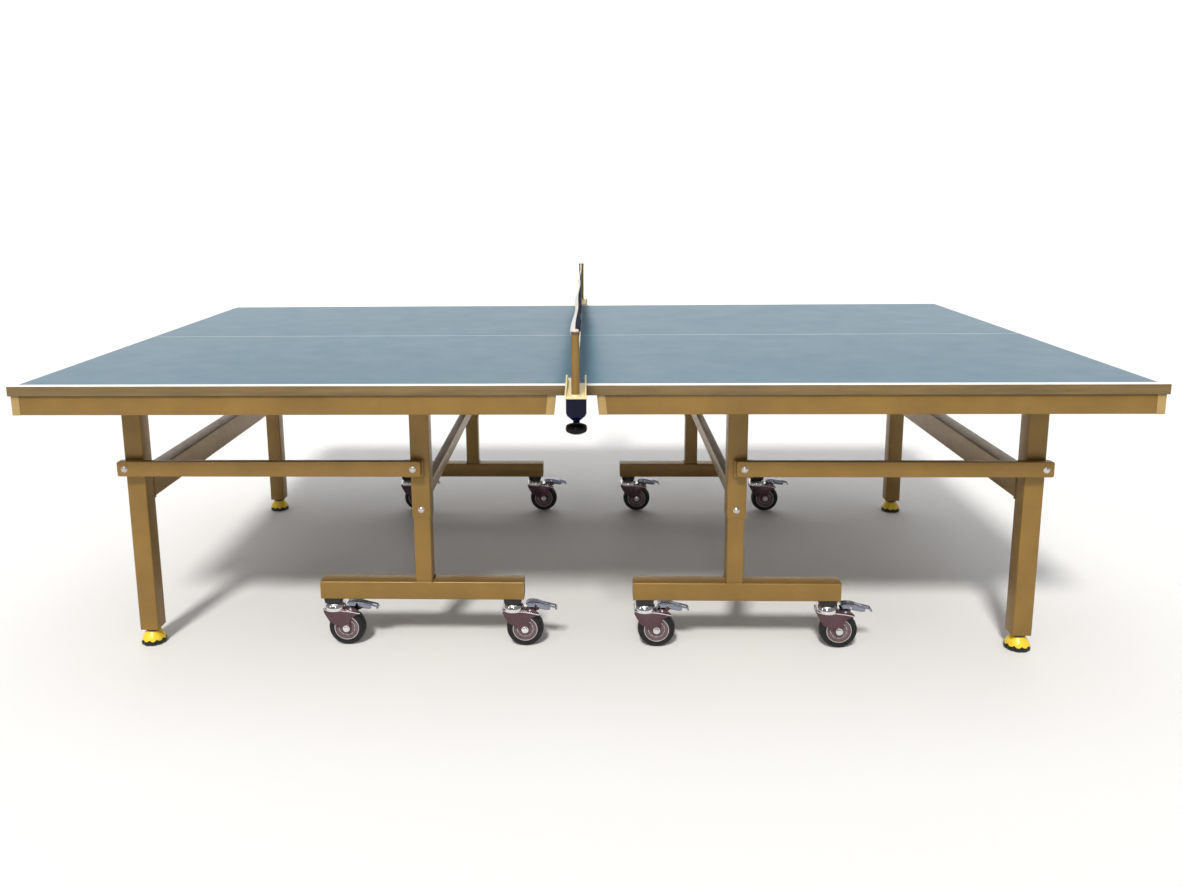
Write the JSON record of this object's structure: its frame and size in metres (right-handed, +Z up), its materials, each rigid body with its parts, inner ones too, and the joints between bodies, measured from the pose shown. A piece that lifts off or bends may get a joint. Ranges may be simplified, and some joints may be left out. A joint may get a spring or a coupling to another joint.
{
  "type": "table tennis table",
  "caption": "Folding indoor table tennis table in two rolling halves, with steel apron, square-tube legs, caster stands, levelling feet and a clamp-on net.",
  "frame": {"origin": "on the floor, midway between the two halves and midway across the table", "axes": "+X along the table's length, +Y across it, +Z up"},
  "size_m": [2.74, 1.834, 0.914],
  "materials": {
    "board": "satin lacquered board with painted white lines",
    "gold_paint": "satin bronze-gold powder coat",
    "pale_gold_paint": "satin pale gold coat",
    "zinc_steel": "zinc plated",
    "chrome": "bright plated",
    "tyre": "matte rubber tread",
    "black_plastic": "moulded",
    "navy_plastic": "moulded",
    "yellow_plastic": "moulded",
    "net_fabric": "knotted mesh with a woven tape"
  },
  "bodies": {
    "left_stand": {"left_upper_frame": "gold_paint", "left_front_t_stand": "gold_paint", "left_rear_t_stand": "gold_paint", "left_sleeve_bolts": "zinc_steel", "left_caster_mounts": "black_plastic"},
    "left_top": {"left_tabletop": "board", "left_apron_frame": "gold_paint", "left_hinge_brackets": "zinc_steel", "front_net_bracket": "pale_gold_paint", "rear_net_bracket": "pale_gold_paint", "front_clamp_housing": "navy_plastic", "rear_clamp_housing": "navy_plastic", "net": "net_fabric"},
    "left_legs": {"left_leg_frame": "gold_paint"},
    "left_links": {"left_front_link": "gold_paint", "left_rear_link": "gold_paint"},
    "left_front_foot": {"left_front_foot": "yellow_plastic"},
    "left_front_inner_fork": {"left_front_inner_fork": "chrome"},
    "left_front_inner_wheel": {"left_front_inner_wheel": "tyre"},
    "left_front_inner_pedal": {"left_front_inner_pedal": "chrome"},
    "left_front_outer_fork": {"left_front_outer_fork": "chrome"},
    "left_front_outer_wheel": {"left_front_outer_wheel": "tyre"},
    "left_front_outer_pedal": {"left_front_outer_pedal": "chrome"},
    "left_rear_foot": {"left_rear_foot": "yellow_plastic"},
    "left_rear_inner_fork": {"left_rear_inner_fork": "chrome"},
    "left_rear_inner_wheel": {"left_rear_inner_wheel": "tyre"},
    "left_rear_inner_pedal": {"left_rear_inner_pedal": "chrome"},
    "left_rear_outer_fork": {"left_rear_outer_fork": "chrome"},
    "left_rear_outer_wheel": {"left_rear_outer_wheel": "tyre"},
    "left_rear_outer_pedal": {"left_rear_outer_pedal": "chrome"},
    "right_stand": {"right_upper_frame": "gold_paint", "right_front_t_stand": "gold_paint", "right_rear_t_stand": "gold_paint", "right_sleeve_bolts": "zinc_steel", "right_caster_mounts": "black_plastic"},
    "right_top": {"right_tabletop": "board", "right_apron_frame": "gold_paint", "right_hinge_brackets": "zinc_steel"},
    "right_legs": {"right_leg_frame": "gold_paint"},
    "right_links": {"right_front_link": "gold_paint", "right_rear_link": "gold_paint"},
    "right_front_foot": {"right_front_foot": "yellow_plastic"},
    "right_front_inner_fork": {"right_front_inner_fork": "chrome"},
    "right_front_inner_wheel": {"right_front_inner_wheel": "tyre"},
    "right_front_inner_pedal": {"right_front_inner_pedal": "chrome"},
    "right_front_outer_fork": {"right_front_outer_fork": "chrome"},
    "right_front_outer_wheel": {"right_front_outer_wheel": "tyre"},
    "right_front_outer_pedal": {"right_front_outer_pedal": "chrome"},
    "right_rear_foot": {"right_rear_foot": "yellow_plastic"},
    "right_rear_inner_fork": {"right_rear_inner_fork": "chrome"},
    "right_rear_inner_wheel": {"right_rear_inner_wheel": "tyre"},
    "right_rear_inner_pedal": {"right_rear_inner_pedal": "chrome"},
    "right_rear_outer_fork": {"right_rear_outer_fork": "chrome"},
    "right_rear_outer_wheel": {"right_rear_outer_wheel": "tyre"},
    "right_rear_outer_pedal": {"right_rear_outer_pedal": "chrome"},
    "front_jaw": {"front_clamp_jaw": "navy_plastic"},
    "front_screw": {"front_clamp_screw": "black_plastic"},
    "rear_jaw": {"rear_clamp_jaw": "navy_plastic"},
    "rear_screw": {"rear_clamp_screw": "black_plastic"}
  },
  "joints": [
    {"name": "left_roll_out", "type": "slide", "parent": "right_stand", "child": "left_stand", "axis": [-1, 0, 0], "range_m": [0, 0.45]},
    {"name": "left_fold", "type": "hinge", "parent": "left_stand", "child": "left_top", "pos_m": [-0.411, 0, 0.699], "axis": [0, 1, 0], "range_deg": [0, 90]},
    {"name": "left_leg_fold", "type": "hinge", "parent": "left_top", "child": "left_legs", "pos_m": [-1.165, 0, 0.699], "axis": [0, 1, 0], "range_deg": [-90, 0]},
    {"name": "left_link_turn", "type": "hinge", "parent": "left_stand", "child": "left_links", "pos_m": [-0.425, 0, 0.506], "axis": [0, 1, 0], "range_deg": [0, 90]},
    {"name": "left_front_foot_screw", "type": "slide", "parent": "left_legs", "child": "left_front_foot", "axis": [0, 0, -1], "range_m": [0, 0.015]},
    {"name": "left_front_inner_swivel", "type": "hinge", "parent": "left_stand", "child": "left_front_inner_fork", "pos_m": [-0.176, -0.55, 0.12], "axis": [0, 0, 1], "continuous": true},
    {"name": "left_front_inner_roll", "type": "hinge", "parent": "left_front_inner_fork", "child": "left_front_inner_wheel", "pos_m": [-0.144, -0.55, 0.05], "axis": [0, 1, 0], "continuous": true},
    {"name": "left_front_inner_brake", "type": "hinge", "parent": "left_front_inner_fork", "child": "left_front_inner_pedal", "pos_m": [-0.13, -0.55, 0.106], "axis": [0, 1, 0], "range_deg": [0, 12]},
    {"name": "left_front_outer_swivel", "type": "hinge", "parent": "left_stand", "child": "left_front_outer_fork", "pos_m": [-0.659, -0.55, 0.12], "axis": [0, 0, 1], "continuous": true},
    {"name": "left_front_outer_roll", "type": "hinge", "parent": "left_front_outer_fork", "child": "left_front_outer_wheel", "pos_m": [-0.627, -0.55, 0.05], "axis": [0, 1, 0], "continuous": true},
    {"name": "left_front_outer_brake", "type": "hinge", "parent": "left_front_outer_fork", "child": "left_front_outer_pedal", "pos_m": [-0.613, -0.55, 0.106], "axis": [0, 1, 0], "range_deg": [0, 12]},
    {"name": "left_rear_foot_screw", "type": "slide", "parent": "left_legs", "child": "left_rear_foot", "axis": [0, 0, -1], "range_m": [0, 0.015]},
    {"name": "left_rear_inner_swivel", "type": "hinge", "parent": "left_stand", "child": "left_rear_inner_fork", "pos_m": [-0.176, 0.55, 0.12], "axis": [0, 0, 1], "continuous": true},
    {"name": "left_rear_inner_roll", "type": "hinge", "parent": "left_rear_inner_fork", "child": "left_rear_inner_wheel", "pos_m": [-0.144, 0.55, 0.05], "axis": [0, 1, 0], "continuous": true},
    {"name": "left_rear_inner_brake", "type": "hinge", "parent": "left_rear_inner_fork", "child": "left_rear_inner_pedal", "pos_m": [-0.13, 0.55, 0.106], "axis": [0, 1, 0], "range_deg": [0, 12]},
    {"name": "left_rear_outer_swivel", "type": "hinge", "parent": "left_stand", "child": "left_rear_outer_fork", "pos_m": [-0.659, 0.55, 0.12], "axis": [0, 0, 1], "continuous": true},
    {"name": "left_rear_outer_roll", "type": "hinge", "parent": "left_rear_outer_fork", "child": "left_rear_outer_wheel", "pos_m": [-0.627, 0.55, 0.05], "axis": [0, 1, 0], "continuous": true},
    {"name": "left_rear_outer_brake", "type": "hinge", "parent": "left_rear_outer_fork", "child": "left_rear_outer_pedal", "pos_m": [-0.613, 0.55, 0.106], "axis": [0, 1, 0], "range_deg": [0, 12]},
    {"name": "right_fold", "type": "hinge", "parent": "right_stand", "child": "right_top", "pos_m": [0.411, 0, 0.699], "axis": [0, -1, 0], "range_deg": [0, 90]},
    {"name": "right_leg_fold", "type": "hinge", "parent": "right_top", "child": "right_legs", "pos_m": [1.165, 0, 0.699], "axis": [0, -1, 0], "range_deg": [-90, 0]},
    {"name": "right_link_turn", "type": "hinge", "parent": "right_stand", "child": "right_links", "pos_m": [0.425, 0, 0.506], "axis": [0, -1, 0], "range_deg": [0, 90]},
    {"name": "right_front_foot_screw", "type": "slide", "parent": "right_legs", "child": "right_front_foot", "axis": [0, 0, -1], "range_m": [0, 0.015]},
    {"name": "right_front_inner_swivel", "type": "hinge", "parent": "right_stand", "child": "right_front_inner_fork", "pos_m": [0.176, -0.55, 0.12], "axis": [0, 0, 1], "continuous": true},
    {"name": "right_front_inner_roll", "type": "hinge", "parent": "right_front_inner_fork", "child": "right_front_inner_wheel", "pos_m": [0.208, -0.55, 0.05], "axis": [0, 1, 0], "continuous": true},
    {"name": "right_front_inner_brake", "type": "hinge", "parent": "right_front_inner_fork", "child": "right_front_inner_pedal", "pos_m": [0.222, -0.55, 0.106], "axis": [0, 1, 0], "range_deg": [0, 12]},
    {"name": "right_front_outer_swivel", "type": "hinge", "parent": "right_stand", "child": "right_front_outer_fork", "pos_m": [0.659, -0.55, 0.12], "axis": [0, 0, 1], "continuous": true},
    {"name": "right_front_outer_roll", "type": "hinge", "parent": "right_front_outer_fork", "child": "right_front_outer_wheel", "pos_m": [0.691, -0.55, 0.05], "axis": [0, 1, 0], "continuous": true},
    {"name": "right_front_outer_brake", "type": "hinge", "parent": "right_front_outer_fork", "child": "right_front_outer_pedal", "pos_m": [0.705, -0.55, 0.106], "axis": [0, 1, 0], "range_deg": [0, 12]},
    {"name": "right_rear_foot_screw", "type": "slide", "parent": "right_legs", "child": "right_rear_foot", "axis": [0, 0, -1], "range_m": [0, 0.015]},
    {"name": "right_rear_inner_swivel", "type": "hinge", "parent": "right_stand", "child": "right_rear_inner_fork", "pos_m": [0.176, 0.55, 0.12], "axis": [0, 0, 1], "continuous": true},
    {"name": "right_rear_inner_roll", "type": "hinge", "parent": "right_rear_inner_fork", "child": "right_rear_inner_wheel", "pos_m": [0.208, 0.55, 0.05], "axis": [0, 1, 0], "continuous": true},
    {"name": "right_rear_inner_brake", "type": "hinge", "parent": "right_rear_inner_fork", "child": "right_rear_inner_pedal", "pos_m": [0.222, 0.55, 0.106], "axis": [0, 1, 0], "range_deg": [0, 12]},
    {"name": "right_rear_outer_swivel", "type": "hinge", "parent": "right_stand", "child": "right_rear_outer_fork", "pos_m": [0.659, 0.55, 0.12], "axis": [0, 0, 1], "continuous": true},
    {"name": "right_rear_outer_roll", "type": "hinge", "parent": "right_rear_outer_fork", "child": "right_rear_outer_wheel", "pos_m": [0.691, 0.55, 0.05], "axis": [0, 1, 0], "continuous": true},
    {"name": "right_rear_outer_brake", "type": "hinge", "parent": "right_rear_outer_fork", "child": "right_rear_outer_pedal", "pos_m": [0.705, 0.55, 0.106], "axis": [0, 1, 0], "range_deg": [0, 12]},
    {"name": "front_jaw_slide", "type": "slide", "parent": "left_top", "child": "front_jaw", "axis": [0, 0, -1], "range_m": [0, 0.008]},
    {"name": "front_screw_turn", "type": "hinge", "parent": "front_jaw", "child": "front_screw", "pos_m": [0, -0.789, 0.7], "axis": [0, 0, -1], "range_deg": [0, 1800]},
    {"name": "rear_jaw_slide", "type": "slide", "parent": "left_top", "child": "rear_jaw", "axis": [0, 0, -1], "range_m": [0, 0.008]},
    {"name": "rear_screw_turn", "type": "hinge", "parent": "rear_jaw", "child": "rear_screw", "pos_m": [0, 0.789, 0.7], "axis": [0, 0, -1], "range_deg": [0, 1800]}
  ],
  "couplings": [
    {"joint": "left_leg_fold", "follows": "left_fold", "ratio": -1},
    {"joint": "left_link_turn", "follows": "left_fold", "ratio": 1},
    {"joint": "right_leg_fold", "follows": "right_fold", "ratio": -1},
    {"joint": "right_link_turn", "follows": "right_fold", "ratio": 1},
    {"joint": "left_roll_out", "follows": "left_fold", "m_per_rad": 0.27}
  ]
}
